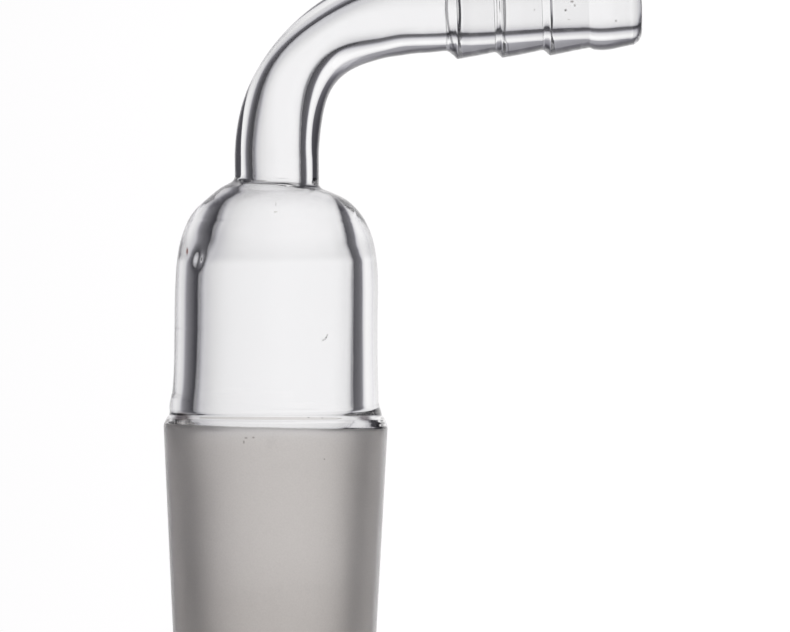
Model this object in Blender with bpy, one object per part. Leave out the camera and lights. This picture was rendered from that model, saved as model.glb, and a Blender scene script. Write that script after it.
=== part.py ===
"""Right-angle hose adapter in borosilicate laboratory glass.

A 24/29 ground-glass cone carries a short round-topped chamber.  A narrow tube
leaves the top of the chamber, turns through a right angle and ends in a
turned, ribbed hose nozzle.

Frame: the origin is the centre of the cone's small end, +Z runs up the cone's
axis and +X follows the hose arm.  All lengths are in metres.
"""
import math

import bmesh
import bpy
from mathutils import Matrix, Vector

MM = 0.001

# ---- driving dimensions -------------------------------------------------
SEAM_GAP = 0.3 * MM            # clearance left between neighbouring blanks

# ground cone, 24/29, taper 1 : 10 on diameter
CONE_D_BIG = 24.0 * MM         # diameter at the top of the ground zone
CONE_LENGTH = 29.0 * MM        # ground length
CONE_TAPER = 0.1               # change of diameter per length
CONE_D_SMALL = CONE_D_BIG - CONE_TAPER * CONE_LENGTH
CONE_BORE_SMALL = 7.95 * MM    # bore radius at the small end
CONE_BORE_BIG = 9.62 * MM      # bore radius at its widest, under the ledge
CONE_RIM_ROUND = 0.45 * MM     # fire-polished rim

# clear seal ring between cone and chamber: a ledge, and a skirt above it
SEAL_TOP = 33.0 * MM
LEDGE_TOP = 30.30 * MM         # height where the sloping ledge ends outside
LEDGE_R = 11.40 * MM           # outside radius there
LEDGE_TOP_IN = 30.60 * MM      # the same for the bore

# chamber with domed top
BODY_R = 10.90 * MM
BODY_FLARE_R = 11.045 * MM     # radius where the seal ring ends
BODY_BORE_R = 8.42 * MM
DOME_START = 39.50 * MM        # height where the wall begins to round over
DOME_APEX = 55.30 * MM         # height at which the dome would close
DOME_POWER = (4.2, 2.3)        # exponents of the rounding, along and across
DOME_TOP = 54.30 * MM          # plane where the chamber blank ends
# inside of the crown, a funnel that narrows into the arm: (radius, height)
CROWN = ((8.41 * MM, 44.0 * MM), (8.32 * MM, 46.3 * MM),
         (8.13 * MM, 47.4 * MM), (7.86 * MM, 48.4 * MM),
         (7.50 * MM, 49.5 * MM), (7.05 * MM, 50.6 * MM),
         (6.45 * MM, 51.7 * MM), (5.75 * MM, 52.5 * MM),
         (4.95 * MM, 53.15 * MM), (4.15 * MM, 53.65 * MM),
         (3.52 * MM, 54.02 * MM), (3.00 * MM, 54.30 * MM))
MOUTH_LOW_R = 2.88 * MM        # radius of the bore at the foot of the weld
MOUTH_HIGH = 55.10 * MM        # height where it has narrowed to the arm's

# flame seal at the foot of the arm
NECK_TOP = 55.50 * MM
NECK_FILLET = 0.35 * MM        # softness of the corner between dome and tube

# arm
TUBE_R = 4.52 * MM
TUBE_BORE_R = 2.62 * MM
BEND_START_Z = 57.70 * MM
BEND_R = 16.10 * MM
ARM_RISE = math.radians(2.5)   # the arm points this far above level
BEND_ANGLE = math.pi / 2 - ARM_RISE
BEND_FLAT = 1.20 * MM          # how far the inner side of the bend is drawn in
BEND_BORE = 1.62 * MM          # how far the bore is drawn in on that side
BEND_WALL_THIN = 0.62 * MM     # how far the outer wall is stretched thinner
BEND_DRAWN = 0.14 * MM         # how far the outer side comes in past the middle
ARM_END_X = 17.90 * MM         # where the nozzle begins

# hose nozzle: (distance from its foot, radius) of each ridge and each valley
NOZZLE_LENGTH = 21.00 * MM
NOZZLE_FOOT_R = 4.52 * MM
RIDGE_R = 5.50 * MM
RIDGE_AT = (1.16 * MM, 5.96 * MM, 11.08 * MM)
VALLEY_AT = (5.16 * MM, 10.30 * MM, 15.67 * MM)
VALLEY_R = 4.75 * MM
BULB_AT = 16.70 * MM
BULB_R = 5.04 * MM
END_R = 4.50 * MM              # radius just before the rounded end
END_DEPTH = 1.35 * MM          # length of the rounding
END_FLAT_OUT = 3.30 * MM       # flat ring of the fire-polished end
END_FLAT_IN = 2.95 * MM

SEG_BODY = 48
SEG_TUBE = 32
BEND_STEPS = 18


def clear_scene():
    for ob in list(bpy.data.objects):
        bpy.data.objects.remove(ob, do_unlink=True)


def glass(name, colour, rough, alpha=1.0):
    mat = bpy.data.materials.new(name)
    mat.use_nodes = True
    bsdf = mat.node_tree.nodes["Principled BSDF"]
    bsdf.inputs["Base Color"].default_value = (*colour, 1.0)
    bsdf.inputs["Roughness"].default_value = rough
    bsdf.inputs["Metallic"].default_value = 0.0
    bsdf.inputs["IOR"].default_value = 1.473
    bsdf.inputs["Alpha"].default_value = alpha
    return mat


def finish(name, bm, mat, angle=35.0):
    bmesh.ops.remove_doubles(bm, verts=bm.verts, dist=1e-7)
    bmesh.ops.recalc_face_normals(bm, faces=bm.faces)
    mesh = bpy.data.meshes.new(name)
    bm.to_mesh(mesh)
    bm.free()
    mesh.shade_smooth()
    mesh.set_sharp_from_angle(angle=math.radians(angle))
    mesh.materials.append(mat)
    ob = bpy.data.objects.new(name, mesh)
    bpy.context.scene.collection.objects.link(ob)
    return ob


def turned(name, outline, seg, mat):
    """Spin a closed outline of (radius, height) points about the Z axis."""
    bm = bmesh.new()
    verts = [bm.verts.new((r, 0.0, z)) for r, z in outline]
    edges = [bm.edges.new((verts[i], verts[(i + 1) % len(verts)]))
             for i in range(len(verts))]
    bmesh.ops.spin(bm, geom=verts + edges, cent=(0, 0, 0), axis=(0, 0, 1),
                   dvec=(0, 0, 0), angle=2 * math.pi, steps=seg,
                   use_merge=True, use_normal_flip=False, use_duplicate=False)
    return finish(name, bm, mat)


def round_corner(a, corner, b, radius, steps=3):
    """Points of a fillet at `corner` between the directions to a and b."""
    a, c, b = Vector(a), Vector(corner), Vector(b)
    ua, ub = (a - c).normalized(), (b - c).normalized()
    half = ua.angle(ub) / 2
    cut = radius / math.tan(half)
    centre = c + (ua + ub).normalized() * (radius / math.sin(half))
    start, end = c + ua * cut - centre, c + ub * cut - centre
    sweep = start.angle(end)
    turn = 1.0 if start.x * end.y - start.y * end.x > 0 else -1.0
    out = []
    for i in range(steps + 1):
        t = turn * sweep * i / steps
        out.append((centre.x + start.x * math.cos(t) - start.y * math.sin(t),
                    centre.y + start.x * math.sin(t) + start.y * math.cos(t)))
    return out


def smooth(t):
    t = min(1.0, max(0.0, t))
    return t * t * (3 - 2 * t)


# ---- radii that several blanks share --------------------------------------
def between(z, knots):
    """Radius at height z on the straight lines through (height, radius)."""
    for (z0, r0), (z1, r1) in zip(knots, knots[1:]):
        if z <= z1:
            return r0 + (r1 - r0) * max(0.0, z - z0) / (z1 - z0)
    return knots[-1][1]


SKIRT = ((CONE_LENGTH, CONE_D_BIG / 2), (29.3 * MM, 11.955 * MM),
         (29.6 * MM, 11.86 * MM), (29.92 * MM, 11.71 * MM),
         (LEDGE_TOP, LEDGE_R), (31.0 * MM, 11.31 * MM),
         (31.85 * MM, 11.17 * MM), (SEAL_TOP, BODY_FLARE_R),
         (34.6 * MM, 10.965 * MM), (37.0 * MM, 10.92 * MM),
         (40.0 * MM, BODY_R))
BORE = ((0.0, CONE_BORE_SMALL), (12.0 * MM, 8.58 * MM),
        (22.0 * MM, 9.12 * MM), (25.5 * MM, 9.36 * MM),
        (28.0 * MM, CONE_BORE_BIG), (28.6 * MM, 9.56 * MM),
        (30.35 * MM, 8.52 * MM), (LEDGE_TOP_IN, 8.46 * MM),
        (31.2 * MM, BODY_BORE_R))


def outer_r(z):
    """Outside radius of cone, seal ring and chamber wall at height z."""
    if z <= CONE_LENGTH:
        return CONE_D_SMALL / 2 + CONE_TAPER / 2 * z
    return between(z, SKIRT)


def bore_r(z):
    """Inside radius of cone, seal ring and chamber wall at height z."""
    return between(z, BORE)


def ground_cone(mat):
    top = CONE_LENGTH
    small_o, small_i = CONE_D_SMALL / 2, bore_r(0)
    out = []
    out += round_corner((0.5 * (small_o + small_i), 0), (small_o, 0),
                        (outer_r(4 * MM), 4 * MM), CONE_RIM_ROUND)
    out += [(outer_r(z), z) for z in (10 * MM, 20 * MM, top)]
    heights = [top, 28.6 * MM, 28 * MM, 25.5 * MM, 22 * MM, 12 * MM]
    out += [(bore_r(z), z) for z in heights]
    out += round_corner((bore_r(4 * MM), 4 * MM), (small_i, 0),
                        (0.5 * (small_o + small_i), 0), CONE_RIM_ROUND)
    return turned("ground_cone", out, SEG_BODY, mat)


def cone_shoulder(mat):
    low, high = CONE_LENGTH + SEAM_GAP, SEAL_TOP
    zs = [low, 29.6 * MM, 29.92 * MM, LEDGE_TOP, 31.0 * MM, 31.85 * MM, high]
    out = [(outer_r(z), z) for z in zs]
    inner = [high, 32.0 * MM, 31.2 * MM, LEDGE_TOP_IN, 30.35 * MM, low]
    out += [(bore_r(z), z) for z in inner]
    return turned("cone_shoulder", out, SEG_BODY, mat)


def dome_r(z, radius, apex):
    """Radius of a dome that starts at DOME_START and closes at apex."""
    t = (z - DOME_START) / (apex - DOME_START)
    if t <= 0:
        return radius
    if t >= 1:
        return 0.0
    along, across = DOME_POWER
    return radius * (1 - t ** along) ** (1 / across)


def dome_z(r, radius, apex):
    """Height at which dome_r gives r."""
    along, across = DOME_POWER
    return DOME_START + (apex - DOME_START) * (
        1 - (r / radius) ** across) ** (1 / along)


def crown_r(z):
    """Outside of dome and arm foot, with a soft corner between them."""
    a = dome_r(z, BODY_R, DOME_APEX)
    soft = NECK_FILLET * (1 - smooth((z - 54.9 * MM) / (0.6 * MM)))
    return 0.5 * (a + TUBE_R + math.sqrt((a - TUBE_R) ** 2 + soft ** 2))


def body_dome(mat):
    low = SEAL_TOP + SEAM_GAP
    steps = 13
    out = [(outer_r(z), z) for z in (low, 35 * MM, 38 * MM)]
    foot = crown_r(DOME_TOP)
    for i in range(steps + 1):
        # even steps in slope: the height follows the shrinking radius
        t = i / steps
        r = BODY_R + (foot - BODY_R) * t ** 1.7
        if i == 0:
            out.append((outer_r(42 * MM), 42 * MM))
        else:
            z = dome_z(r, BODY_R, DOME_APEX)
            out.append((r, min(z, DOME_TOP)))
    out[-1] = (foot, DOME_TOP)
    out += list(reversed(CROWN))
    out += [(bore_r(z), z) for z in (40 * MM, 36 * MM, low)]
    return turned("body_dome", out, SEG_BODY, mat)


def neck_weld(mat):
    low, high = DOME_TOP + SEAM_GAP, NECK_TOP
    n = 7
    out = [(crown_r(low + (high - low) * i / n),
            low + (high - low) * i / n) for i in range(n + 1)]
    out[-1] = (TUBE_R, high)
    out += [(TUBE_BORE_R, high), (TUBE_BORE_R, MOUTH_HIGH), (MOUTH_LOW_R, low)]
    return turned("neck_weld", out, 40, mat)


def bend_frame(s):
    """Centre, tangent angle and place in the bend at arc position s (0..1)."""
    a = BEND_ANGLE * s
    centre = Vector((BEND_R * (1 - math.cos(a)), 0,
                     BEND_START_Z + BEND_R * math.sin(a)))
    return centre, a


def hump(turn, centre, before, after):
    """1 at `centre` degrees round the bend, fading to both sides."""
    width = before if turn < centre else after
    return math.exp(-((turn - centre) / width) ** 2)


def tube_section(ang, radius, bore):
    """One ring of the arm: u points away from the bend's centre.

    The inner side of the bend is drawn in and the outer wall is thinner.
    """
    turn = math.degrees(ang)
    ends = smooth(turn / 10.0) * smooth((87.5 - turn) / 8.0)
    flat = ends * BEND_FLAT * hump(turn, 41, 21, 21)
    come_in = ends * BEND_DRAWN * smooth((turn - 25) / 25)
    pts = []
    for i in range(SEG_TUBE):
        t = 2 * math.pi * i / SEG_TUBE
        u, v = math.cos(t), math.sin(t)
        if bore:
            low = -TUBE_BORE_R + ends * BEND_BORE * hump(turn, 44, 27, 21)
            high = TUBE_BORE_R + ends * BEND_WALL_THIN * hump(turn, 29, 18, 18)
            mid, half = 0.5 * (low + high), 0.5 * (high - low)
            pts.append((mid + half * u, TUBE_BORE_R * v))
        else:
            draw = flat * 0.5 * (1 - u) - come_in * 0.5 * (1 + u)
            pts.append((radius * u + draw, radius * v))
    return pts


def elbow_tube(mat):
    stations = []                      # (centre, angle)
    stations.append((Vector((0, 0, NECK_TOP + SEAM_GAP)), 0.0))
    for i in range(BEND_STEPS + 1):
        stations.append(bend_frame(i / BEND_STEPS))
    end, a = bend_frame(1.0)
    along = Vector((math.sin(a), 0, math.cos(a)))
    run = (ARM_END_X - end.x) / along.x
    stations.append((end + along * run, a))

    bm = bmesh.new()
    rings = {False: [], True: []}
    for centre, ang in stations:
        out_dir = Vector((-math.cos(ang), 0, math.sin(ang)))
        side = Vector((0, 1, 0))
        for bore in (False, True):
            rings[bore].append([bm.verts.new(centre + out_dir * u + side * v)
                                for u, v in tube_section(ang, TUBE_R, bore)])

    def band(one, two):
        for i in range(SEG_TUBE):
            j = (i + 1) % SEG_TUBE
            bm.faces.new((one[i], one[j], two[j], two[i]))

    for bore in (False, True):
        for one, two in zip(rings[bore], rings[bore][1:]):
            band(one, two)
    for at in (0, -1):
        band(rings[False][at], rings[True][at])
    return finish("elbow_tube", bm, mat)


def nozzle_outline():
    """Outside of the nozzle: three ridges, each a short steep flank and a
    long taper, then a soft bulb and the rounded end."""
    out = [(NOZZLE_FOOT_R, SEAM_GAP)]
    for at, valley in zip(RIDGE_AT, VALLEY_AT):
        out.append((0.5 * (NOZZLE_FOOT_R + RIDGE_R), at - 0.36 * MM))
        out.append((RIDGE_R - 0.08 * MM, at - 0.10 * MM))
        out.append((RIDGE_R, at))
        out.append((RIDGE_R - 0.05 * MM, at + 0.25 * MM))
        out.append((VALLEY_R, valley - 0.10 * MM))
        out.append((VALLEY_R + 0.02 * MM, valley + 0.10 * MM))
    out.append((BULB_R - 0.06 * MM, BULB_AT - 0.5 * MM))
    out.append((BULB_R, BULB_AT))
    out.append((BULB_R - 0.05 * MM, BULB_AT + 0.95 * MM))
    out.append((END_R + 0.10 * MM, NOZZLE_LENGTH - END_DEPTH - 0.15 * MM))
    # rounded end, a quarter of an ellipse
    depth, width = END_DEPTH, END_R - END_FLAT_OUT
    for i in range(6):
        a = math.pi / 2 * i / 5
        out.append((END_FLAT_OUT + width * math.cos(a),
                    NOZZLE_LENGTH - depth + depth * math.sin(a)))
    out.append((END_FLAT_IN, NOZZLE_LENGTH))
    out.append((TUBE_BORE_R + 0.10 * MM, NOZZLE_LENGTH - 0.18 * MM))
    out.append((TUBE_BORE_R, NOZZLE_LENGTH - 0.60 * MM))
    out.append((TUBE_BORE_R, SEAM_GAP))
    return out


def hose_nozzle(mat):
    ob = turned("hose_nozzle", nozzle_outline(), SEG_TUBE, mat)
    end, a = bend_frame(1.0)
    along = Vector((math.sin(a), 0, math.cos(a)))
    foot = end + along * ((ARM_END_X - end.x) / along.x)
    ob.rotation_euler = (0.0, math.pi / 2 - ARM_RISE, 0.0)
    ob.location = foot
    return ob


def main():
    clear_scene()
    clear = glass("clear_glass", (0.93, 0.94, 0.95), 0.03, 0.35)
    ground = glass("ground_glass", (0.78, 0.77, 0.75), 0.55)
    ground_cone(ground)
    cone_shoulder(clear)
    body_dome(clear)
    neck_weld(clear)
    elbow_tube(clear)
    hose_nozzle(clear)


main()
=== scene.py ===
"""Right-angle glass hose adapter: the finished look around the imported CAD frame.

Everything is in metres in the CAD frame.  The glass is rebuilt as fine turned
and swept meshes, one for each CAD node, and lit the way laboratory glass is
photographed: bright field, a white sheet behind it and dark to both sides, so
that the walls draw themselves as dark lines.
"""
import math

import bpy
import numpy as np
from mathutils import Matrix, Vector


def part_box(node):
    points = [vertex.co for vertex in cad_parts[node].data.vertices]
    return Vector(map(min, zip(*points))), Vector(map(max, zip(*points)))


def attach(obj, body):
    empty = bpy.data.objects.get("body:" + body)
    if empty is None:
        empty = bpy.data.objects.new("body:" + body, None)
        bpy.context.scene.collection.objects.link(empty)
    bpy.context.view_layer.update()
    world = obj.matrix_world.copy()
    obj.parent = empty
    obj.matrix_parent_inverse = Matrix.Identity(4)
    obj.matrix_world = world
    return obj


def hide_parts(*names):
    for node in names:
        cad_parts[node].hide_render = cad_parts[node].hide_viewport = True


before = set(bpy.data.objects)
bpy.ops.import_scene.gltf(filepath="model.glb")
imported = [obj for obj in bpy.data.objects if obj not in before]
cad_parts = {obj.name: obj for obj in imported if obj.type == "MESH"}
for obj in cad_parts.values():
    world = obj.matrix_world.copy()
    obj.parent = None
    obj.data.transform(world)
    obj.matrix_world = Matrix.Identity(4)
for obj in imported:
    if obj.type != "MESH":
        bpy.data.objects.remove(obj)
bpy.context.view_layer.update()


# ---------------------------------------------------------------------------
# Sizes, in millimetres.  Heights of the seams come from the CAD frame.
# ---------------------------------------------------------------------------
MM = 0.001
SEAM = 0.3                                    # gap that CAD leaves at a seam
Z_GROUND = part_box("ground_cone")[1].z / MM                # 29.0
Z_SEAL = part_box("cone_shoulder")[1].z / MM                # 33.0
Z_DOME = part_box("body_dome")[1].z / MM                    # 54.3
Z_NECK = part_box("neck_weld")[1].z / MM                    # 55.5
R_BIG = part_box("ground_cone")[1].x / MM                   # 12.0

TAPER = 0.05                                  # radius per length
BODY_R, BODY_BORE = 10.90, 8.42
DOME_START, DOME_APEX = 39.5, 55.3
DOME_P, DOME_Q = 4.2, 2.3
TUBE_R, TUBE_BORE = 4.52, 2.62
BEND_Z, BEND_R = 57.70, 16.10
RISE = math.radians(2.5)
BEND_A = math.pi / 2 - RISE
ARM_END_X = 17.90
NOZZLE_LEN = 21.00
SEG = 192


def smooth(t):
    t = min(1.0, max(0.0, t))
    return t * t * (3 - 2 * t)


def softened(knots, low, high, sigma, step=0.02):
    """A table of radius by height through the knots, softened by flame."""
    z = np.arange(low, high + step, step)
    r = np.interp(z, [k[0] for k in knots], [k[1] for k in knots])
    half = int(4 * sigma / step) + 1
    kernel = np.exp(-0.5 * (np.arange(-half, half + 1) * step / sigma) ** 2)
    kernel /= kernel.sum()
    return z, np.convolve(np.pad(r, half, mode="edge"), kernel, mode="valid")


# the ledge between the ground zone and the chamber, outside and inside
LEDGE = softened([(29.00, 12.00), (29.10, 12.00), (29.30, 11.955),
                  (29.60, 11.86), (29.92, 11.71), (30.30, 11.40),
                  (30.55, 11.355), (30.98, 11.31), (31.41, 11.24),
                  (31.84, 11.17), (32.48, 11.10), (33.00, 11.045),
                  (34.60, 10.965), (37.0, 10.92),
                  (40.0, 10.90), (41.5, 10.90)], 29.0, 41.5, 0.06)
BORE = softened([(0.0, 7.95), (12.0, 8.58), (22.0, 9.12), (25.5, 9.36),
                 (27.6, 9.58), (28.3, 9.62), (28.7, 9.54), (30.35, 8.50),
                 (30.60, 8.44), (31.0, 8.42),
                 (50.0, 8.42)], 0.0, 50.0, 0.08)


def squash(theta, z):
    """The bore is not quite round over the ledge: it follows the outside,
    so that the wall keeps its thickness, except on the right."""
    flare = np.interp(np.clip(z, 30.45, 41.0), *LEDGE) - BODY_R
    fade = np.clip((np.asarray(z) - 20.0) / 8.0, 0, 1)
    keep = 1 - 0.65 * np.clip(np.cos(theta), 0, 1) ** 2
    return flare * keep * fade * fade * (3 - 2 * fade)


def outer_r(z):
    if z <= Z_GROUND:
        return R_BIG - TAPER * (Z_GROUND - z)
    if z >= 41.5:
        return BODY_R
    return float(np.interp(z, *LEDGE))


def bore_r(z):
    """The wall keeps its thickness over the seal, so the bore steps in."""
    return float(np.interp(z, *BORE))


def dome_r(z, radius, apex):
    t = (z - DOME_START) / (apex - DOME_START)
    if t <= 0:
        return radius
    if t >= 1:
        return 0.0
    return radius * (1 - t ** DOME_P) ** (1 / DOME_Q)


def crown_r(z):
    a = dome_r(z, BODY_R, DOME_APEX)
    soft = 0.62 * (1 - smooth((z - 54.9) / 0.6))
    return 0.5 * (a + TUBE_R + math.sqrt((a - TUBE_R) ** 2 + soft ** 2))


# ---------------------------------------------------------------------------
# Hand-made unevenness: low waves of a few hundredths of a millimetre
# ---------------------------------------------------------------------------
def wave_outer(theta, z):
    a = np.clip((z - 41.0) / 4.0, 0, 1)
    return (0.05 * np.cos(theta) * a * a * (3 - 2 * a)
            + 0.012 * np.sin(2 * theta + 0.7 + z / 14.0)
            + 0.006 * np.sin(5 * theta + 2.1 - z / 9.0)
            + 0.008 * np.sin(z / 3.7 + 1.3 + np.sin(theta))
            - 0.16 * np.cos(theta) * np.exp(-((z - 31.2) / 1.3) ** 2))


def wave_inner(theta, z):
    a = np.clip((50.0 - z) / 4.0, 0, 1)
    return (-0.09 * np.cos(theta) * a * a * (3 - 2 * a)
            + 0.020 * np.sin(2 * theta + 2.6 - z / 11.0)
            + 0.012 * np.sin(3 * theta + 0.4 + z / 6.0)
            + 0.007 * np.sin(7 * theta + 1.9 + z / 19.0)
            + 0.012 * np.sin(z / 4.3 + 0.5 + 1.3 * np.cos(theta)))


def wave_gate(z):
    """Waves fade out towards the ground zone and towards the neck."""
    a = np.clip((z - 30.2) / 1.5, 0, 1)
    b = np.clip((52.5 - z) / 4.0, 0, 1)
    return a * a * (3 - 2 * a) * b * b * (3 - 2 * b)


def neck_tilt(co):
    """The arm was set on a little askew: its weld is higher on the left and
    at the back."""
    z = co[:, 2]
    a = np.clip((z - 53.2) / 2.2, 0, 1)
    b = 1 - np.clip((z - 55.6) / 2.0, 0, 1)
    w = a * a * (3 - 2 * a) * b * b * (3 - 2 * b)
    co[:, 2] = z + (0.20 - 0.088 * co[:, 0] + 0.045 * co[:, 1]) * w
    return co


# ---------------------------------------------------------------------------
# Mesh building
# ---------------------------------------------------------------------------
def make_object(name, co_mm, quads, slots, mats, sharp=32.0):
    mesh = bpy.data.meshes.new(name)
    mesh.from_pydata((co_mm * MM).tolist(), [], quads)
    mesh.polygons.foreach_set("material_index", slots)
    for m in mats:
        mesh.materials.append(m)
    mesh.update()
    mesh.shade_smooth()
    mesh.set_sharp_from_angle(angle=math.radians(sharp))
    ob = bpy.data.objects.new(name, mesh)
    bpy.context.scene.collection.objects.link(ob)
    return ob


def lathe(profile, seg=SEG):
    """profile: closed list of (r, z, side, slot); slot is that of the band
    that starts at the point.  Returns vertices, quads and slots."""
    n = len(profile)
    theta = 2 * np.pi * np.arange(seg) / seg
    co = np.zeros((n, seg, 3))
    for i, (r, z, side, _) in enumerate(profile):
        wave = {"o": wave_outer, "i": wave_inner}.get(side)
        rr = np.full(seg, float(r))
        if wave is not None:
            rr = rr + wave(theta, z) * wave_gate(np.array(z))
        if side == "i":
            rr = rr + squash(theta, z)
        co[i, :, 0] = rr * np.cos(theta)
        co[i, :, 1] = rr * np.sin(theta)
        co[i, :, 2] = z
    quads, slots = [], []
    for i in range(n):
        j = (i + 1) % n
        for k in range(seg):
            m = (k + 1) % seg
            quads.append((i * seg + k, i * seg + m, j * seg + m, j * seg + k))
        slots += [profile[i][3]] * seg
    return co.reshape(-1, 3), quads, slots


def spaced(a, b, n, tight=0.01):
    """Values from a to b with an extra one very close to each end, so that the
    shading at a seam follows the true surface on both sides of it."""
    d = tight if b > a else -tight
    inner = [a + (b - a) * i / n for i in range(1, n)]
    return [a, a + d] + inner + [b - d, b]


def corner(a, c, b, radius, steps=8):
    """Fillet points at c, between the directions to a and to b."""
    a, c, b = Vector(a), Vector(c), Vector(b)
    ua, ub = (a - c).normalized(), (b - c).normalized()
    half = ua.angle(ub) / 2
    cut = radius / math.tan(half)
    mid = c + (ua + ub).normalized() * (radius / math.sin(half))
    s, e = c + ua * cut - mid, c + ub * cut - mid
    sweep = s.angle(e)
    turn = 1.0 if s.x * e.y - s.y * e.x > 0 else -1.0
    return [(mid.x + s.x * math.cos(turn * sweep * i / steps)
             - s.y * math.sin(turn * sweep * i / steps),
             mid.y + s.x * math.sin(turn * sweep * i / steps)
             + s.y * math.cos(turn * sweep * i / steps))
            for i in range(steps + 1)]


# ---------------------------------------------------------------------------
# Materials
# ---------------------------------------------------------------------------
IOR = 1.473


class Nodes:
    """Small helper to write node trees compactly."""

    def __init__(self, name):
        self.mat = bpy.data.materials.new(name)
        self.mat.use_nodes = True
        self.tree = self.mat.node_tree
        self.tree.nodes.clear()
        self.out = self.tree.nodes.new("ShaderNodeOutputMaterial")

    def new(self, kind, **settings):
        node = self.tree.nodes.new(kind)
        for key, value in settings.items():
            setattr(node, key, value)
        return node

    def link(self, a, b):
        self.tree.links.new(a, b)

    def math(self, op, a, b=None, clamp=False):
        node = self.new("ShaderNodeMath", operation=op, use_clamp=clamp)
        for socket, value in zip(node.inputs, (a, b)):
            if value is None:
                continue
            if isinstance(value, (int, float)):
                socket.default_value = value
            else:
                self.link(value, socket)
        return node.outputs[0]

    def noise(self, vector, scale, detail=2.0, rough=0.5):
        node = self.new("ShaderNodeTexNoise")
        node.inputs["Scale"].default_value = scale
        node.inputs["Detail"].default_value = detail
        node.inputs["Roughness"].default_value = rough
        self.link(vector, node.inputs["Vector"])
        return node.outputs["Fac"]

    def scaled(self, vector, x, y, z):
        node = self.new("ShaderNodeMapping")
        node.inputs["Scale"].default_value = (x, y, z)
        self.link(vector, node.inputs["Vector"])
        return node.outputs["Vector"]

    def span(self, value, a, b, c, d, kind="LINEAR"):
        node = self.new("ShaderNodeMapRange", interpolation_type=kind)
        for i, v in zip((1, 2, 3, 4), (a, b, c, d)):
            node.inputs[i].default_value = v
        self.link(value, node.inputs[0])
        return node.outputs[0]

    def spot(self, position, at, size, soft=0.5):
        """1 inside a small ellipsoid about `at` (mm), 0 outside."""
        sub = self.new("ShaderNodeVectorMath", operation="SUBTRACT")
        self.link(position, sub.inputs[0])
        sub.inputs[1].default_value = [v * MM for v in at]
        div = self.new("ShaderNodeVectorMath", operation="DIVIDE")
        self.link(sub.outputs[0], div.inputs[0])
        div.inputs[1].default_value = [v * MM for v in size]
        length = self.new("ShaderNodeVectorMath", operation="LENGTH")
        self.link(div.outputs[0], length.inputs[0])
        return self.span(length.outputs["Value"], 1 - soft, 1 + soft, 1, 0,
                         "SMOOTHSTEP")


# the pinched line is painted shade: a dark line painted into the weld crease
CREASE_SHADE_Z = 55.34        # height of the pinched line on the axis, mm
# small marks and painted shade on the clear glass: place and half size in mm,
# softness, colour
CLEAR_SPECKS_AND_SHADE = (
    ((30.72, -4.68, 73.58), (0.16, 0.8, 0.15), 0.4, (0.08, 0.07, 0.07)),
    ((31.70, -4.74, 74.10), (0.12, 0.8, 0.14), 0.6, (0.30, 0.29, 0.28)),
    ((31.40, -4.74, 74.50), (0.20, 0.8, 0.12), 0.6, (0.20, 0.18, 0.17)),
    ((36.10, -4.20, 72.50), (0.09, 0.8, 0.12), 0.5, (0.25, 0.23, 0.22)),
    ((27.40, -4.60, 73.60), (0.08, 0.8, 0.08), 0.6, (0.40, 0.38, 0.36)),
    ((31.10, -4.20, 72.60), (0.16, 0.8, 0.06), 0.6, (0.50, 0.47, 0.42)),
    ((0.05, -8.30, 52.75), (0.06, 0.9, 0.24), 0.5, (0.42, 0.40, 0.38)),
    ((0.05, -8.90, 51.90), (0.20, 0.9, 0.06), 0.5, (0.45, 0.42, 0.38)),
    ((5.57, -9.40, 38.89), (0.065, 0.7, 0.09), 0.3, (0.16, 0.15, 0.15)),
    ((5.47, -9.45, 38.66), (0.09, 0.7, 0.09), 0.3, (0.02, 0.018, 0.018)),
    ((5.34, -9.50, 38.47), (0.075, 0.7, 0.07), 0.3, (0.12, 0.11, 0.11)),
    ((5.14, -9.60, 38.37), (0.10, 0.7, 0.065), 0.3, (0.14, 0.13, 0.13)),
    ((3.65, -10.8, 30.20), (0.09, 0.5, 0.07), 0.5, (0.35, 0.33, 0.33)),
    ((5.10, -10.2, 30.15), (0.07, 0.5, 0.06), 0.5, (0.35, 0.33, 0.33)),
    ((-9.44, -4.80, 47.74), (0.12, 0.9, 0.40), 0.45, (0.16, 0.05, 0.04)),
    # painted shade: broad dark patches at the left and right ends of the ledge
    ((-10.0, -6.00, 30.10), (1.30, 2.4, 0.60), 0.5, (0.20, 0.165, 0.165)),
    ((9.45, -6.20, 30.10), (0.85, 1.5, 0.40), 0.5, (0.16, 0.14, 0.15)),
    # painted shade: deepens the weld crease line left of the centre
    ((-1.75, -4.20, 55.24), (0.75, 0.8, 0.13), 0.5, (0.20, 0.20, 0.17)),
)


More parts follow.
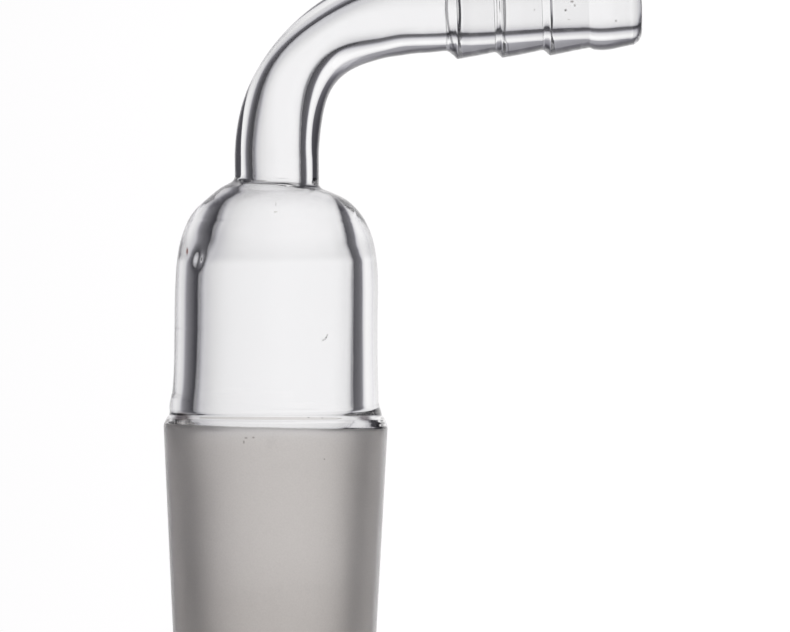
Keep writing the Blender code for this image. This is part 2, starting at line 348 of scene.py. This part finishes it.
def clear_glass():
    n = Nodes("clear_glass")
    bsdf = n.new("ShaderNodeBsdfPrincipled")
    bsdf.inputs["IOR"].default_value = IOR
    bsdf.inputs["Transmission Weight"].default_value = 1.0
    co = n.new("ShaderNodeTexCoord").outputs["Object"]
    # specks of dust, a scratch, a brown residue, and painted shade at both ends
    # of the ledge and in the weld crease
    colour = None
    for at, size, soft, shade in CLEAR_SPECKS_AND_SHADE:
        mix = n.new("ShaderNodeMix", data_type="RGBA")
        mix.inputs[7].default_value = (*shade, 1)
        if colour is None:
            mix.inputs[6].default_value = (0.997, 0.998, 1.0, 1)
        else:
            n.link(colour, mix.inputs[6])
        n.link(n.spot(co, at, size, soft), mix.inputs[0])
        colour = mix.outputs[2]
    # painted shade: a near-black line in the crease around the foot of the arm,
    # where dome and tube were fused; it lies askew like the weld itself
    sep = n.new("ShaderNodeSeparateXYZ")
    n.link(co, sep.inputs[0])
    x, y, z = sep.outputs
    right = n.math("MAXIMUM", x, 0.0)
    askew = n.math("ADD", n.math("MULTIPLY",
                                 n.math("MULTIPLY", right, right), -29.0),
                   n.math("MULTIPLY", y, 0.067))
    off = n.math("ABSOLUTE", n.math(
        "SUBTRACT", n.math("SUBTRACT", z, askew), CREASE_SHADE_Z * MM))
    wide = n.math("SQRT", n.math("ADD", n.math("MULTIPLY", x, x),
                                 n.math("MULTIPLY", y, y)))
    line = n.math("MULTIPLY", n.span(off, 0.12 * MM, 0.21 * MM, 1, 0),
                  n.span(wide, 4.2 * MM, 4.4 * MM, 0, 1))
    line = n.math("MULTIPLY", line, n.span(wide, 5.2 * MM, 5.6 * MM, 1, 0))
    mix = n.new("ShaderNodeMix", data_type="RGBA")
    mix.inputs[7].default_value = (0.004, 0.004, 0.006, 1)
    n.link(colour, mix.inputs[6])
    n.link(n.math("MULTIPLY", line, n.span(x, 3.0 * MM, 4.2 * MM, 1, 0.3)),
           mix.inputs[0])
    # and a finer painted shade line where the tube was joined to the turned nozzle
    lift = n.math("SUBTRACT", z, 74.06 * MM)
    bow = n.math("MULTIPLY", n.math("MULTIPLY", lift, lift), 40.0)
    ring = n.math("ABSOLUTE", n.math(
        "SUBTRACT", n.math("SUBTRACT", x, bow), 18.08 * MM))
    ring = n.span(ring, 0.08 * MM, 0.17 * MM, 1, 0)
    # painted shade along the sharp edge of the second ridge
    edge = n.math("ABSOLUTE", n.math(
        "SUBTRACT", n.math("ADD", x, n.math("MULTIPLY", lift, 0.04)),
        24.07 * MM))
    ring = n.math("MAXIMUM", ring, n.span(edge, 0.02 * MM, 0.11 * MM, 0.95, 0))
    ring = n.math("MULTIPLY", ring, n.span(z, 66.0 * MM, 67.0 * MM, 0, 0.9))
    # painted shade: the dark lines at the foot of the first ridge and on the
    # second
    ridge_shade = n.new("ShaderNodeMix", data_type="RGBA")
    ridge_shade.inputs[7].default_value = (0.10, 0.10, 0.11, 1)
    n.link(mix.outputs[2], ridge_shade.inputs[6])
    n.link(ring, ridge_shade.inputs[0])
    mix = ridge_shade
    # the top of the chamber is a little darker, all round
    crown_darkening = n.new("ShaderNodeMix", data_type="RGBA")
    crown_darkening.inputs[7].default_value = (0.865, 0.862, 0.868, 1)
    n.link(mix.outputs[2], crown_darkening.inputs[6])
    top = n.math("MULTIPLY", n.span(z, 52.0 * MM, 53.6 * MM, 0, 1),
                 n.span(z, 54.2 * MM, 55.2 * MM, 1, 0.45))
    top = n.math("MULTIPLY", top, n.span(z, 55.3 * MM, 55.5 * MM, 1, 0))
    n.link(n.math("MULTIPLY", top, n.span(wide, 4.3 * MM, 4.6 * MM, 0, 1)),
           crown_darkening.inputs[0])
    n.link(crown_darkening.outputs[2], bsdf.inputs["Base Color"])
    # drawn tubing: very faint long waves, and a trace of dust haze
    draw = n.noise(n.scaled(co, 900, 900, 60), 1.0, 2.0, 0.5)
    haze = n.noise(n.scaled(co, 260, 260, 200), 1.0, 3.0, 0.6)
    bump = n.new("ShaderNodeBump")
    bump.inputs["Strength"].default_value = 0.18
    bump.inputs["Distance"].default_value = 0.02 * MM
    n.link(draw, bump.inputs["Height"])
    n.link(bump.outputs["Normal"], bsdf.inputs["Normal"])
    n.link(n.span(haze, 0.35, 0.8, 0.0, 0.035), bsdf.inputs["Roughness"])
    n.link(bsdf.outputs[0], n.out.inputs["Surface"])
    return n.mat


def ground_glass():
    n = Nodes("ground_glass")
    bsdf = n.new("ShaderNodeBsdfPrincipled")
    bsdf.inputs["IOR"].default_value = IOR
    bsdf.inputs["Transmission Weight"].default_value = 1.0
    co = n.new("ShaderNodeTexCoord").outputs["Object"]
    sep = n.new("ShaderNodeSeparateXYZ")
    n.link(co, sep.inputs[0])
    # the grinding stops on a line that is a little out of level
    edge = n.noise(n.scaled(co, 500, 500, 500), 1.0, 2.0)
    line = n.math("ADD", n.math("MULTIPLY", sep.outputs["X"], 0.0196),
                  n.math("MULTIPLY", n.math("SUBTRACT", edge, 0.5), 0.10 * MM))
    height = n.math("ADD", sep.outputs["Z"], line)
    ground = n.span(height, 29.10 * MM, 29.18 * MM, 1.0, 0.0)
    grain = n.noise(n.scaled(co, 9000, 9000, 9000), 1.0, 2.0, 0.6)
    rings = n.noise(n.scaled(co, 120, 120, 2600), 1.0, 3.0, 0.6)
    cloud = n.noise(n.scaled(co, 140, 140, 90), 1.0, 3.0, 0.55)
    rough = n.math("ADD", n.math("MULTIPLY", cloud, 0.10),
                   n.math("MULTIPLY", rings, 0.06))
    rough = n.math("ADD", rough, 0.42)
    n.link(n.math("MULTIPLY", rough, ground), bsdf.inputs["Roughness"])
    # a ground face turns glossy when seen edge-on
    n.link(n.math("MULTIPLY", ground, 1.0), bsdf.inputs["Coat Weight"])
    bsdf.inputs["Coat Roughness"].default_value = 0.25
    bsdf.inputs["Coat IOR"].default_value = 1.47
    # painted shade: a dark band along the edge of the grinding, and the lower end
    # darker
    tone_and_low_shade = n.new("ShaderNodeMix", data_type="RGBA")
    tone_and_low_shade.inputs[6].default_value = (0.58, 0.545, 0.515, 1)
    tone_and_low_shade.inputs[7].default_value = (0.71, 0.678, 0.650, 1)
    n.link(n.span(sep.outputs["Z"], 5.0 * MM, 17.0 * MM, 0.0, 1.0,
                  "SMOOTHSTEP"), tone_and_low_shade.inputs[0])
    # painted shade: a darker band just under the edge of the grinding
    grind_edge_shade = n.new("ShaderNodeMix", data_type="RGBA")
    grind_edge_shade.inputs[7].default_value = (0.44, 0.42, 0.40, 1)
    n.link(tone_and_low_shade.outputs[2], grind_edge_shade.inputs[6])
    n.link(n.span(height, 28.75 * MM, 29.12 * MM, 0.0, 1.0, "SMOOTHERSTEP"),
           grind_edge_shade.inputs[0])
    mix = n.new("ShaderNodeMix", data_type="RGBA")
    mix.inputs[6].default_value = (1, 1, 1, 1)
    n.link(grind_edge_shade.outputs[2], mix.inputs[7])
    n.link(ground, mix.inputs[0])
    # a smudge, and a faint streak of wear lower down
    wear = None
    for at, size, much in (((-0.20, -11.8, 27.55), (0.55, 1.2, 0.95), 0.07),
                           ((1.2, -11.6, 24.9), (1.3, 1.6, 0.5), 0.025),
                           ((-1.6, -11.0, 10.9), (4.2, 2.0, 1.3), 0.035),
                           ((2.9, -10.9, 12.2), (2.6, 2.0, 0.5), 0.03)):
        m = n.math("MULTIPLY", n.spot(co, at, size, 0.85), much)
        wear = m if wear is None else n.math("ADD", wear, m)
    mottle = n.noise(n.scaled(co, 1500, 1500, 1100), 1.0, 2.0, 0.6)
    wear = n.math("MULTIPLY", wear, n.span(mottle, 0.35, 0.6, 0.25, 1.6))
    specks = None
    for at, size in (((-2.92, -11.8, 28.02), (0.16, 0.6, 0.10)),
                     ((-2.13, -11.9, 28.07), (0.14, 0.6, 0.09)),
                     ((-3.14, -11.7, 27.58), (0.10, 0.6, 0.17)),
                     ((5.35, -11.0, 25.80), (0.09, 0.9, 0.09))):
        s = n.spot(co, at, size)
        specks = s if specks is None else n.math("MAXIMUM", specks, s)
    dark = n.new("ShaderNodeMix", data_type="RGBA")
    dark.inputs[7].default_value = (0.16, 0.13, 0.12, 1)
    n.link(n.math("MULTIPLY", specks, 0.85), dark.inputs[0])
    n.link(mix.outputs[2], dark.inputs[6])
    fine = n.noise(n.scaled(co, 5200, 5200, 5200), 1.0, 1.0, 0.5)
    dull = n.new("ShaderNodeVectorMath", operation="SCALE")
    n.link(dark.outputs[2], dull.inputs[0])
    n.link(n.math("ADD", n.math("MULTIPLY", n.span(fine, 0.25, 0.75, 0, 1),
                                0.10),
                  n.math("SUBTRACT", n.span(cloud, 0.3, 0.7, 0.94, 0.97),
                         wear)), dull.inputs[3])
    n.link(dull.outputs[0], bsdf.inputs["Base Color"])
    bump = n.new("ShaderNodeBump")
    bump.inputs["Distance"].default_value = 0.01 * MM
    n.link(n.math("MULTIPLY", ground, 0.35), bump.inputs["Strength"])
    n.link(grain, bump.inputs["Height"])
    n.link(bump.outputs["Normal"], bsdf.inputs["Normal"])
    n.link(bsdf.outputs[0], n.out.inputs["Surface"])
    return n.mat


def fused_seam():
    """Where two blanks are melted into one there is no surface to see."""
    n = Nodes("fused_seam")
    t = n.new("ShaderNodeBsdfTransparent")
    n.link(t.outputs[0], n.out.inputs["Surface"])
    return n.mat


CLEAR, GROUND, FUSED = clear_glass(), ground_glass(), fused_seam()
SHADE = [CLEAR, GROUND, FUSED]
C, G, F = 0, 1, 2


# ---------------------------------------------------------------------------
# The turned pieces
# ---------------------------------------------------------------------------
def shade_used(slots):
    """Only the materials a piece uses, and the slots renumbered."""
    used = sorted(set(slots))
    return [SHADE[u] for u in used], [used.index(s) for s in slots]


def add_piece(name, co, quads, slots, node, slot, sharp=32.0):
    mats, slots = shade_used(slots)
    ob = make_object(name, co, quads, slots, mats, sharp)
    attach(ob, "root")
    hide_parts(node)
    return ob


def build_cone():
    small = outer_r(0.0)
    mid = 0.5 * (small + bore_r(0.0))
    p = [(r, z, None, C) for r, z in
         corner((mid, 0), (small, 0), (outer_r(4), 4), 0.45)]
    p[-1] = (*p[-1][:3], G)
    top = spaced(p[-1][1], Z_GROUND, 60)[1:]
    p += [(outer_r(z), z, "o", G) for z in top]
    p[-1] = (*p[-1][:3], F)
    inner = spaced(Z_GROUND, 25.0, 70)[:-1] + spaced(25.0, 4.0, 40)[1:]
    p += [(bore_r(z), z, "i", C) for z in inner]
    p += [(r, z, None, C) for r, z in
          corner((bore_r(4), 4), (bore_r(0), 0), (mid, 0), 0.45)]
    return add_piece("ground_cone_glass", *lathe(p), "ground_cone",
                     "ground_glass")


def build_shoulder():
    out = spaced(Z_GROUND, Z_SEAL, 100)
    p = [(outer_r(z), z, "o", G if z < 29.75 else C) for z in out]
    p[-1] = (*p[-1][:3], F)
    p += [(bore_r(z), z, "i", C) for z in spaced(Z_SEAL, Z_GROUND, 100)]
    p[-1] = (*p[-1][:3], F)
    return add_piece("seal_ring_glass", *lathe(p), "cone_shoulder",
                     "clear_glass")


# Inside of the chamber's crown and the mouth of the arm, (radius, height).  The
# wall was left thicker on the side away from the arm.
CROWN_LEFT = ((8.42, 39.5), (8.42, 42.0), (8.41, 44.0), (8.37, 45.4),
              (8.29, 46.5), (8.10, 47.3), (7.84, 48.1), (7.48, 49.0),
              (7.06, 50.0), (6.53, 51.0), (5.94, 51.9), (5.22, 52.7),
              (4.50, 53.35), (4.00, 53.85), (3.56, 54.24), (3.04, 54.7),
              (2.72, 55.1), (2.62, 55.5))
CROWN_RIGHT = ((8.42, 39.5), (8.42, 42.0), (8.42, 44.0), (8.42, 45.6),
               (8.38, 46.7), (8.12, 47.7), (7.70, 48.8), (7.28, 49.9),
               (6.86, 51.0), (6.36, 52.1), (5.74, 52.95), (5.00, 53.5),
               (4.20, 53.85), (3.55, 54.05), (3.08, 54.28), (2.78, 54.7),
               (2.66, 55.1), (2.62, 55.5))


def through(points, low, high, n):
    """Even points, from height low to high, of a smooth curve through the
    given ones (Catmull-Rom); one more lies very close to each end."""
    q = np.array([points[0], *points, points[-1]], dtype=float)
    q[0] = 2 * q[1] - q[2]
    q[-1] = 2 * q[-2] - q[-3]
    fine = []
    for i in range(1, len(q) - 2):
        a, b, c, d = q[i - 1:i + 3]
        for t in np.arange(0, 1, 0.04):
            fine.append(0.5 * (2 * b + (c - a) * t
                               + (2 * a - 5 * b + 4 * c - d) * t * t
                               + (3 * b - a - 3 * c + d) * t ** 3))
    fine.append(q[-2])
    fine = np.array(fine)
    step = np.concatenate([[0], np.cumsum(
        np.linalg.norm(np.diff(fine, axis=0), axis=1))])
    a, b = (float(np.interp(z, fine[:, 1], step)) for z in (low, high))
    at = np.array(spaced(a, b, n))
    return np.stack([np.interp(at, step, fine[:, k]) for k in (0, 1)], axis=1)


def crown_inside(low, high, n):
    """Rings (n + 3, SEG, 3) of that inside between two heights."""
    theta = 2 * np.pi * np.arange(SEG) / SEG
    left = through(CROWN_LEFT, low, high, n)
    right = through(CROWN_RIGHT, low, high, n)
    w = 0.5 * (1 + np.cos(theta))[None, :]
    r = left[:, 0][:, None] * (1 - w) + right[:, 0][:, None] * w
    z = left[:, 1][:, None] * (1 - w) + right[:, 1][:, None] * w
    r = r + wave_inner(theta[None, :], z) * wave_gate(z)
    # a seed bubble in the wall, which swells the surface a little
    x, y = r * np.cos(theta), r * np.sin(theta)
    d = (((x + 7.25) / 0.50) ** 2 + ((y + 3.95) / 0.8) ** 2
         + ((z - 46.75 - 0.25 * (x + 7.25)) / 0.80) ** 2)
    r = r - 0.15 * np.exp(-d)
    return np.stack([r * np.cos(theta), r * np.sin(theta), z], axis=2)


def build_body():
    p = [(outer_r(z), z, "o", C) for z in spaced(Z_SEAL, 41.0, 40)[:-2]]
    p.append((outer_r(41.0), 41.0, "o", C))
    foot = crown_r(Z_DOME)
    n = 90
    for i in range(1, n + 1):
        # finer steps where the wall turns over
        t = i / n
        z = 41.0 + (Z_DOME - 41.0) * (1 - (1 - t) ** 1.6)
        r = crown_r(z) if z > 51.0 else dome_r(z, BODY_R, DOME_APEX)
        blend = smooth((z - 41.0) / 4.0)
        r = outer_r(z) * (1 - blend) + r * blend if z < 45.0 else r
        p.append((r, z, "o", C))
    p[-1] = (crown_r(Z_DOME - 0.01), Z_DOME - 0.01, "o", C)
    p.append((foot, Z_DOME, "o", F))
    first, steps = len(p), 170
    p += [(1.0, 0.0, None, C)] * (steps + 3)
    p += [(bore_r(z), z, "i", C) for z in spaced(39.5, Z_SEAL, 40)[1:]]
    p[-1] = (*p[-1][:3], F)
    co, quads, slots = lathe(p)
    ring = co.reshape(len(p), SEG, 3)
    ring[first:first + steps + 3] = crown_inside(39.5, Z_DOME, steps)[::-1]
    co = ring.reshape(-1, 3)
    return add_piece("chamber_glass", neck_tilt(co), quads, slots, "body_dome",
                     "clear_glass")


def build_neck():
    p = [(crown_r(z), z, None, C) for z in spaced(Z_DOME, Z_NECK, 40)]
    p[-1] = (TUBE_R, Z_NECK, None, F)
    first, steps = len(p), 24
    p += [(1.0, 0.0, None, C)] * (steps + 3)
    p[-1] = (*p[-1][:3], F)
    co, quads, slots = lathe(p)
    ring = co.reshape(len(p), SEG, 3)
    ring[first:] = crown_inside(Z_DOME, Z_NECK, steps)[::-1]
    co = ring.reshape(-1, 3)
    return add_piece("neck_seal_glass", neck_tilt(co), quads, slots,
                     "neck_weld", "clear_glass")


# ---------------------------------------------------------------------------
# The bent arm
# ---------------------------------------------------------------------------
def bend_frame(s):
    a = BEND_A * s
    return np.array([BEND_R * (1 - math.cos(a)), 0.0,
                     BEND_Z + BEND_R * math.sin(a)]), a


def hump(deg, centre, before, after):
    """1 at `centre` degrees round the bend, fading to both sides."""
    width = before if deg < centre else after
    return math.exp(-((deg - centre) / width) ** 2)


END_CENTRE, END_ANGLE = bend_frame(1.0)
ALONG = np.array([math.sin(END_ANGLE), 0.0, math.cos(END_ANGLE)])
FOOT = END_CENTRE + ALONG * ((ARM_END_X - END_CENTRE[0]) / ALONG[0])


def build_elbow():
    stations = []
    for z in spaced(Z_NECK, BEND_Z, 14)[:-2]:
        stations.append((np.array([0, 0, z]), 0.0, 0.0))
    n = 150
    for i in range(n + 1):
        c, a = bend_frame(i / n)
        stations.append((c, a, i / n))
    run = float(np.linalg.norm(FOOT - END_CENTRE))
    for d in spaced(0.0, run, 20)[2:]:
        stations.append((END_CENTRE + ALONG * d, END_ANGLE, 1.0))
    count = len(stations)
    # angle 0 points away from the bend's centre, which at the foot is -X;
    # measured so that the rings meet the neck's vertex for vertex
    t = np.pi - 2 * np.pi * np.arange(SEG) / SEG
    rings = {"o": [], "i": []}
    for k, (c, a, s) in enumerate(stations):
        out_dir = np.array([-math.cos(a), 0.0, math.sin(a)])
        side = np.array([0.0, 1.0, 0.0])
        u, v = np.cos(t), np.sin(t)
        gate = smooth(min(k, count - 1 - k) / 18.0)
        # the bend drew the inner side flat, stretched the outer one a little
        # and left the wall thick on the inner side
        deg = math.degrees(a)
        flat = gate * (1.20 * hump(deg, 41, 21, 21)
                       - 0.13 * smooth((deg - 66) / 12))
        out = gate * (0.14 * smooth((deg - 25) / 25)
                      - 0.10 * hump(deg, 18, 11, 9))
        along = k * 0.19
        ripple = gate * (0.012 * np.sin(2 * t + 0.9 + along / 4.0)
                         + 0.006 * np.sin(5 * t + 2.0 - along / 2.5))
        ripple_in = gate * (0.030 * np.sin(2 * t + 2.2 - along / 3.5)
                            + 0.015 * np.sin(3 * t + 0.6 + along / 2.2))
        ro = TUBE_R + ripple
        uo = ro * u + flat * 0.5 * (1 - u) - out * 0.5 * (1 + u)
        rings["o"].append(c + np.outer(uo, out_dir) + np.outer(ro * v, side))
        low = -TUBE_BORE + gate * (1.62 * hump(deg, 44, 27, 21)
                                   - 0.10 * smooth((deg - 75) / 12))
        high = TUBE_BORE + gate * 0.62 * hump(deg, 29, 18, 18)
        mid, half = 0.5 * (low + high), 0.5 * (high - low)
        ui = mid - 0.07 * gate * (1 - s) + (half + ripple_in) * u
        rings["i"].append(c + np.outer(ui, out_dir)
                          + np.outer((TUBE_BORE + ripple_in) * v, side))
    order = rings["o"] + rings["i"][::-1]
    co = np.concatenate(order)
    total = len(order)
    quads, slots = [], []
    for i in range(total):
        j = (i + 1) % total
        for k in range(SEG):
            m = (k + 1) % SEG
            quads.append((i * SEG + k, i * SEG + m, j * SEG + m, j * SEG + k))
        slots += [F if i in (count - 1, total - 1) else C] * SEG
    return add_piece("bent_arm_glass", neck_tilt(co), quads, slots,
                     "elbow_tube", "clear_glass")


# ---------------------------------------------------------------------------
# The hose nozzle
# ---------------------------------------------------------------------------
def nozzle_radius():
    """Outside radius along the nozzle, softened as flame polishing does."""
    knots = [(0.0, 4.52), (0.10, 4.60), (0.30, 4.63), (0.40, 4.73),
             (0.92, 5.22), (1.13, 5.455),
             (3.50, 5.13), (5.22, 4.86), (5.36, 4.90), (5.71, 5.22),
             (5.94, 5.49),
             (8.00, 5.22), (10.34, 4.82), (10.48, 4.88), (11.08, 5.45),
             (15.30, 4.77), (15.46, 4.81), (15.78, 4.97), (16.42, 5.07),
             (17.02, 5.09), (17.72, 5.03), (19.75, 4.67), (21.00, 4.46)]
    s = np.arange(-0.6, 21.6, 0.02)
    r = np.interp(s, [k[0] for k in knots], [k[1] for k in knots])
    sigma = 0.055
    kernel = np.exp(-0.5 * (np.arange(-30, 31) * 0.02 / sigma) ** 2)
    kernel /= kernel.sum()
    soft = np.convolve(np.pad(r, 30, mode="edge"), kernel, mode="valid")
    return s, soft


def bore_swell(s):
    """The bore opens a little wherever the wall was worked outwards."""
    at = (0.0, 0.5, 1.6, 2.4, 5.2, 6.6, 8.7, 9.6, 14.2, 15.2, 15.8, 16.4,
          17.1, 17.8, 19.0, 20.0, 20.6)
    by = (0.0, 0.05, 0.07, 0.11, 0.10, 0.04, 0.0, -0.02, -0.02, 0.0, 0.06,
          0.15, 0.155, 0.13, 0.07, 0.05, 0.0)
    return float(np.interp(s, at, by))


def build_nozzle():
    s_all, r_all = nozzle_radius()
    last = NOZZLE_LEN - 1.35
    steps = []
    s = 0.0
    while s < last:
        near = min(abs(s - f) for f in (0.3, 1.1, 5.3, 5.9, 10.4, 11.1, 15.5))
        steps.append(s)
        s += 0.03 if near < 0.45 else 0.12
    p = [(TUBE_R, 0.0, None, C), (TUBE_R, 0.01, None, C)]
    start = 0.0
    for s in steps[1:]:
        r = float(np.interp(s, s_all, r_all))
        r = TUBE_R + (r - TUBE_R) * smooth((s - start) / 0.25)
        p.append((r, s, None, C))
    edge = float(np.interp(last, s_all, r_all))
    flat_out, flat_in = 3.30, 2.95
    for i in range(15):
        a = math.pi / 2 * i / 14
        p.append((flat_out + (edge - flat_out) * math.cos(a),
                  last + 1.35 * math.sin(a), None, C))
    for i in range(9):
        a = math.pi / 2 * i / 8
        p.append((flat_in - (flat_in - TUBE_BORE) * math.sin(a),
                  NOZZLE_LEN - 0.55 * (1 - math.cos(a)), None, C))
    p += [(TUBE_BORE + bore_swell(s), s, None, C)
          for s in spaced(NOZZLE_LEN - 0.6, 0.0, 90)[1:]]
    p[-1] = (*p[-1][:3], F)
    n = len(p)
    # local height runs along ALONG; the ring starts on the same side as the
    # arm's rings so that they meet vertex for vertex
    t = np.pi - 2 * np.pi * np.arange(SEG) / SEG
    up = np.array([-ALONG[2], 0.0, ALONG[0]])
    side = np.array([0.0, 1.0, 0.0])
    co = np.zeros((n, SEG, 3))
    for i, (r, s, _, _) in enumerate(p):
        co[i] = FOOT + ALONG * s + np.outer(r * np.cos(t), up) \
            + np.outer(r * np.sin(t), side)
    quads, slots = [], []
    for i in range(n):
        j = (i + 1) % n
        for k in range(SEG):
            m = (k + 1) % SEG
            quads.append((i * SEG + k, i * SEG + m, j * SEG + m, j * SEG + k))
        slots += [p[i][3]] * SEG
    return add_piece("hose_nozzle_glass", co.reshape(-1, 3), quads, slots,
                     "hose_nozzle", "clear_glass")


pieces = [build_cone(), build_shoulder(), build_body(), build_neck(),
          build_elbow(), build_nozzle()]

# ---------------------------------------------------------------------------
# Camera: level, from the front, the arm to the right
# ---------------------------------------------------------------------------
scene = bpy.context.scene
DIST = 0.70
FRAME_W = 0.08467
LOOK = Vector((0.01273, 0.0, 0.04095))
cam_data = bpy.data.cameras.new("camera")
cam_data.sensor_width = 36.0
cam_data.lens = 36.0 * DIST / FRAME_W
cam_data.clip_start, cam_data.clip_end = 0.01, 50.0
cam = bpy.data.objects.new("camera", cam_data)
scene.collection.objects.link(cam)
PITCH = math.radians(0.0)
cam.matrix_world = (
    Matrix.Translation(LOOK + Vector((0, -DIST, DIST * math.tan(PITCH))))
    @ Matrix.Rotation(math.radians(90) - PITCH, 4, "X")
    @ Matrix.Rotation(math.radians(0.28), 4, "Z"))
scene.camera = cam

# ---------------------------------------------------------------------------
# Light: a white sheet behind, seen through a dark surround, and a small table
# ---------------------------------------------------------------------------
def light_field():
    """Brightness of the surround by direction, in the surround's own axes:
    -Z is behind the object, +X right, +Y up."""
    n = Nodes("light_surround")
    co = n.new("ShaderNodeTexCoord").outputs["Object"]
    sep = n.new("ShaderNodeSeparateXYZ")
    n.link(co, sep.inputs[0])
    x, y, z = sep.outputs
    back = n.math("MULTIPLY", z, -1.0)
    azimuth = n.math("MULTIPLY", n.math("ARCTAN2", x, back), 180 / math.pi)
    flat = n.math("SQRT", n.math("ADD", n.math("MULTIPLY", x, x),
                                 n.math("MULTIPLY", z, z)))
    height = n.math("MULTIPLY", n.math("ARCTAN2", y, flat), 180 / math.pi)

    def curve(value, points):
        """Piecewise-linear brightness over -180..180 degrees."""
        unit = n.span(value, -180, 180, 0, 1)
        node = n.new("ShaderNodeFloatCurve")
        c = node.mapping.curves[0]
        pts = [((a + 180) / 360, b) for a, b in points]
        c.points[0].location = pts[0]
        c.points[1].location = pts[-1]
        for q in pts[1:-1]:
            c.points.new(*q)
        for q in c.points:
            q.handle_type = "VECTOR"
        node.mapping.update()
        n.link(unit, node.inputs["Value"])
        return node.outputs[0]

    across = curve(azimuth, [(-180, 0), (-60, 0), (-55, 0.0), (-50, 0.015),
                             (-45, 0.035), (-40, 0.07), (-35, 0.125),
                             (-32, 0.16), (-29, 0.28), (-26, 0.51),
                             (-23, 0.65), (-20, 0.71), (-16, 0.77),
                             (-12, 0.84), (-8, 0.90), (-4, 0.94), (0, 0.98),
                             (8, 0.98), (12, 1.0), (24, 0.98), (28, 0.88),
                             (30.4, 0.78), (33, 0.70), (35.2, 0.38),
                             (36.9, 0.13), (41, 0.08), (43.3, 0.06),
                             (48, 0.03), (60, 0.02), (80, 0.0), (180, 0)])
    upright = curve(height, [(-180, 0), (-95, 0.35), (-84, 0.33), (-76, 0.20),
                             (-70, 0.05), (-61, 0.015), (-56, 0.05),
                             (-52, 0.12), (-48, 0.28), (-42, 0.56), (-35, 0.71),
                             (-28, 0.80), (-23, 0.91), (-18, 0.95), (-12, 1.0),
                             (0, 1.0), (3, 1.0), (7, 0.955), (12, 0.87),
                             (18, 0.78), (25, 0.73), (35.5, 0.68), (38, 0.37),
                             (44, 0.31), (50, 0.27), (53, 0.12), (60, 0.05),
                             (75, 0.03), (95, 0.0), (180, 0)])
    sheet = n.math("MULTIPLY", across, upright)
    level = n.math("ADD", sheet, 0.048)
    # the dark part of the room is faintly violet beside the white sheet
    tint = n.new("ShaderNodeMix", data_type="RGBA")
    tint.inputs[6].default_value = (1.0, 0.975, 1.12, 1)
    tint.inputs[7].default_value = (1.0, 0.994, 1.0, 1)
    n.link(n.span(level, 0.0, 0.85, 0.0, 1.0), tint.inputs[0])
    em = n.new("ShaderNodeEmission")
    n.link(tint.outputs[2], em.inputs["Color"])
    n.link(level, em.inputs["Strength"])
    n.link(em.outputs[0], n.out.inputs["Surface"])
    return n.mat


def sphere(name, radius, rings, segs):
    co, quads = [], []
    for i in range(rings + 1):
        a = math.pi * i / rings
        for j in range(segs):
            b = 2 * math.pi * j / segs
            co.append((radius * math.sin(a) * math.cos(b), radius * math.cos(a),
                       radius * math.sin(a) * math.sin(b)))
    for i in range(rings):
        for j in range(segs):
            k = (j + 1) % segs
            q = (i * segs + j, i * segs + k, (i + 1) * segs + k,
                 (i + 1) * segs + j)
            quads.append(q)
    mesh = bpy.data.meshes.new(name)
    mesh.from_pydata(co, [], quads)
    mesh.update()
    mesh.shade_smooth()
    ob = bpy.data.objects.new(name, mesh)
    scene.collection.objects.link(ob)
    return ob


surround = sphere("light_surround", 4.0, 48, 96)
surround.data.materials.append(light_field())
surround.matrix_world = Matrix.Translation(LOOK) @ \
    cam.matrix_world.to_3x3().to_4x4()


def table():
    radius, segs = 0.062, 96
    co = [(0.010, 0, 0)]
    prof = [(radius - 0.0012, 0.0), (radius - 0.0004, -0.0003),
            (radius, -0.0012), (radius, -0.004), (radius - 0.001, -0.005)]
    for r, z in prof:
        for j in range(segs):
            a = 2 * math.pi * j / segs
            co.append((0.010 + r * math.cos(a), r * math.sin(a), z))
    faces = [(0, 1 + j, 1 + (j + 1) % segs) for j in range(segs)]
    for i in range(len(prof) - 1):
        for j in range(segs):
            k = (j + 1) % segs
            faces.append((1 + i * segs + k, 1 + i * segs + j,
                          1 + (i + 1) * segs + j, 1 + (i + 1) * segs + k))
    faces.append(tuple(1 + (len(prof) - 1) * segs + j
                       for j in range(segs))[::-1])
    mesh = bpy.data.meshes.new("table")
    mesh.from_pydata(co, [], faces)
    mesh.update()
    mesh.shade_smooth()
    mesh.set_sharp_from_angle(angle=math.radians(40))
    ob = bpy.data.objects.new("table", mesh)
    scene.collection.objects.link(ob)
    n = Nodes("pale_table")
    d = n.new("ShaderNodeBsdfDiffuse")
    d.inputs["Color"].default_value = (0.55, 0.55, 0.55, 1)
    e = n.new("ShaderNodeEmission")
    e.inputs["Color"].default_value = (1, 1, 1, 1)
    e.inputs["Strength"].default_value = 0.72
    add = n.new("ShaderNodeAddShader")
    n.link(d.outputs[0], add.inputs[0])
    n.link(e.outputs[0], add.inputs[1])
    n.link(add.outputs[0], n.out.inputs["Surface"])
    mesh.materials.append(n.mat)
    ob.visible_transmission = False
    return ob


table()

world = bpy.data.worlds.new("world")
scene.world = world
world.use_nodes = True
world.node_tree.nodes["Background"].inputs["Color"].default_value = (0, 0, 0, 1)

scene.view_settings.view_transform = "Standard"
scene.view_settings.look = "None"
scene.view_settings.exposure = 0.0
scene.view_settings.gamma = 1.0
cy = scene.cycles
cy.max_bounces = 48
cy.transmission_bounces = 40
cy.glossy_bounces = 24
cy.transparent_max_bounces = 64
cy.diffuse_bounces = 4
cy.use_denoising = True
cy.sample_clamp_indirect = 6.0
cy.blur_glossy = 0.0
cy.caustics_reflective = True
cy.caustics_refractive = True
